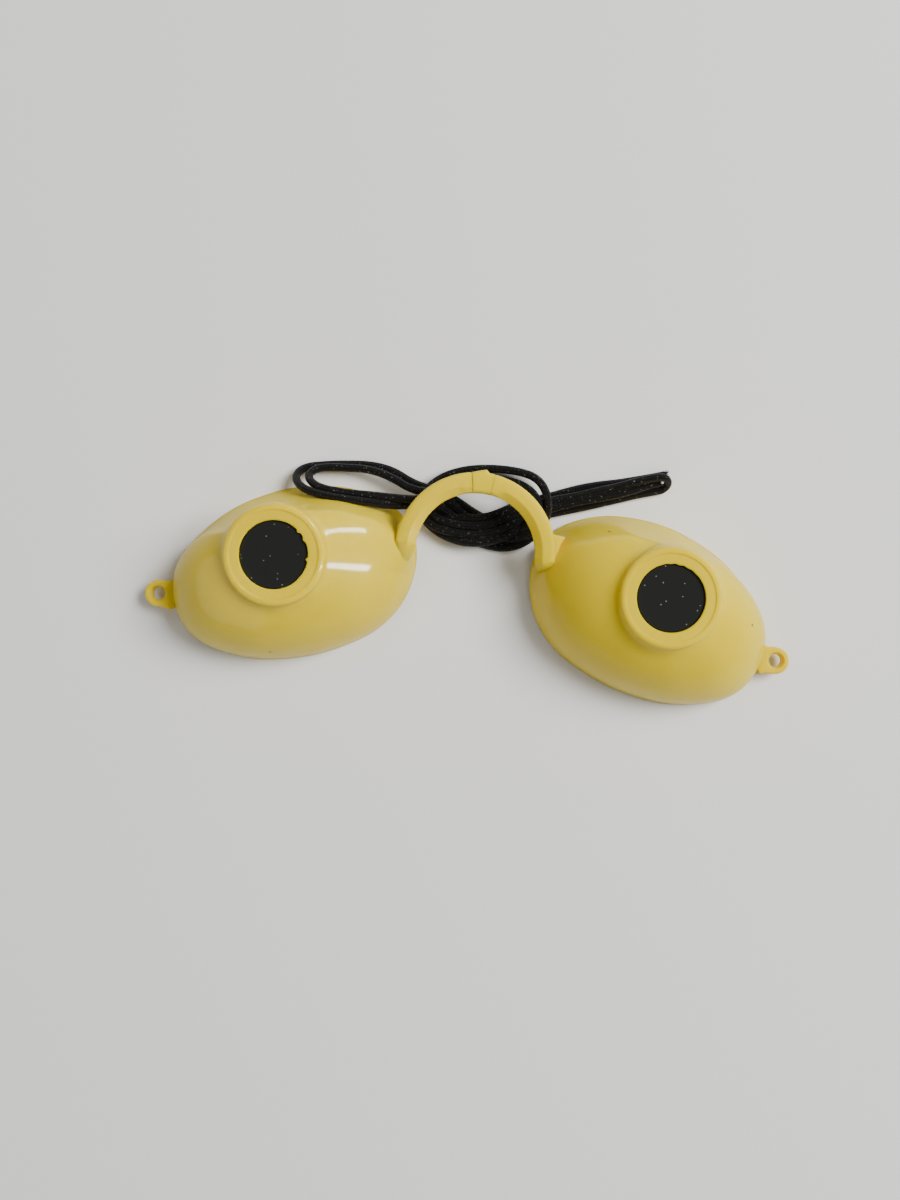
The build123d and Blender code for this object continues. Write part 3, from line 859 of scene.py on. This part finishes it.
def build_gusset(bm, outline):
    """Adds the web between the leg and the brow wall."""
    verts = [bm.verts.new((x, y, web_floor)) for x, y in outline]
    base = bm.faces.new(verts)
    grown = bmesh.ops.extrude_face_region(bm, geom=[base])["geom"]
    tops = [item for item in grown if isinstance(item, bmesh.types.BMVert)]
    for vert in tops:
        vert.co.z = web_top - web_fall * (vert.co.x - web_start)
    rim = [item for item in grown if isinstance(item, bmesh.types.BMEdge) and set(item.verts) <= set(tops)]
    bmesh.ops.bevel(bm, geom=rim, offset=web_round, segments=3, affect="EDGES", profile=0.5)


# %% [markdown]
# ## The moulding, one side at a time
# Cup, tab, leg and web are closed shells that run into each other, as they do in the mould. They are joined
# in one mesh without a boolean, because their seams lie inside the plastic. The left side is the right side
# mirrored, with a few sizes of its own.

# %% Helpers that put a side of the moulding together
def joined(*builders):
    """One mesh from several builders; each is a function and the move that puts it in place."""
    whole = bmesh.new()
    for build, move in builders:
        part = bmesh.new()
        build(part)
        bmesh.ops.recalc_face_normals(part, faces=part.faces)
        bmesh.ops.translate(part, verts=part.verts, vec=move)
        mesh = bpy.data.meshes.new("part")
        part.to_mesh(mesh)
        part.free()
        whole.from_mesh(mesh)
        bpy.data.meshes.remove(mesh)
    return whole


def piece(name, bm, side, finish):
    """An object from a mesh in mm that is built on the right; side is -1 to mirror it to the left."""
    bmesh.ops.scale(bm, verts=bm.verts, vec=(side * MM, MM, MM))
    if side < 0:
        bmesh.ops.reverse_faces(bm, faces=bm.faces)
    mesh = bpy.data.meshes.new(name)
    bm.to_mesh(mesh)
    bm.free()
    for face in mesh.polygons:
        face.use_smooth = True
    mesh.materials.append(finish)
    made = bpy.data.objects.new(name, mesh)
    bpy.context.collection.objects.link(made)
    return made


def sharpen(obj, degrees):
    """Keeps edges that turn by more than an angle crisp, so flat tops stay flat."""
    obj.data.set_sharp_from_angle(angle=radians(degrees))


# %% How far each collar's lip reaches over its lens: place and half width in degrees, depth in mm
lip_reach = 0.05
left_tongues = [(131, 3.0, 0.34), (148, 4.0, 0.30), (182.3, 2.5, 0.36)]
uneven_at, uneven_width, uneven_depth, uneven_waves = 80, 30, 0.07, 23


def left_lip(angle):
    """The left collar's lip reaches over the lens in three small places."""
    reach = lip_reach
    for at, width, depth in left_tongues:
        off = (angle * 180 / pi - at + 180) % 360 - 180
        reach += depth * exp(-(off / width) ** 2)
    return reach


def right_lip(angle):
    """The right collar's lip is a little uneven at the brow side."""
    off = (angle * 180 / pi - uneven_at) / uneven_width
    return lip_reach + uneven_depth * exp(-off ** 2) * (1 + sin(angle * uneven_waves))


# %% Both sides: name, side, lean, trims, swelling, lip, leg, web
crisp_angle = 27
tab_place = (53.7, -8.7, 0)
sides = (
    ("left", -1, left_lean, (0.8, 0.75), 0.9, left_lip, left_leg, left_gusset),
    ("right", 1, right_lean, (0.5, 0.5), 0.3, right_lip, right_leg, right_gusset),
)
for side_name, side, lean, trims, swelling, lip, leg, gusset in sides:
    bm = joined(
        (lambda part: build_cup(part, lean, trims, swelling, lip), (lens_x, 0, 0)), (build_tab, tab_place),
        (lambda part: build_leg(part, leg), (0, 0, 0)),
        (lambda part: build_gusset(part, gusset), (0, 0, 0)),
    )
    moulding = piece(side_name + "_moulding", bm, side, yellow)
    sharpen(moulding, crisp_angle)
    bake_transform(moulding)
    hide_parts(side_name + "_eyecup", side_name + "_cord_tab", "nose_bridge")
    print(moulding.name, len(moulding.data.polygons), "faces")

# %% The mirrored lamps serve the left moulding, and only in its gloss
receiver = bpy.data.collections.new("left_moulding_light")
receiver.objects.link(bpy.data.objects["left_moulding"])
for lamp in mirrored_lamps:
    lamp.light_linking.receiver_collection = receiver
    lamp.visible_diffuse = False

# %% [markdown]
# ## The crown of the bridge
# The middle of the bar is a hair thicker than the rest, with a low pointed nub where the gate was cut off.
# It is swept like the legs, and the nub is a hump that the sections take on near it.

# %% The crown, with the gate's nub
crown_width, crown_thickness = 3.58, 2.66
nub_at, nub_height, nub_steep_run, nub_gentle_run = 0.4, 0.5, 0.5, 1.9


def build_crown(bm):
    """Adds the short middle of the bar, with the nub on its outer edge."""
    angle = crown_end / arch_radius
    steps = 32
    stations = []
    for step in range(steps + 1):
        turn = -angle + 2 * angle * step / steps
        off = arch_radius * turn - nub_at
        nub = nub_height * max(0, 1 - (off / nub_steep_run if off > 0 else -off / nub_gentle_run))
        stations.append(arch_station(turn, crown_width, crown_thickness, hump=nub))
    sweep_bar(bm, stations)


crown = piece("crown", joined((build_crown, (0, 0, 0))), 1, yellow)
sharpen(crown, crisp_angle)
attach(crown, "bridge")
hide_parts("nose_bridge")
print("crown", len(crown.data.polygons), "faces")

# %% [markdown]
# ## The lenses
# The lenses keep their CAD solids and take the dark finish. Each is a plain disc with a small chamfer, so a
# new mesh would show nothing more.

# %% Lenses
for name in ("left_lens", "right_lens"):
    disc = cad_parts[name]
    disc.data.materials.clear()
    disc.data.materials.append(dark_lens)
    print(name, tuple(round(value, 4) for value in disc.dimensions))
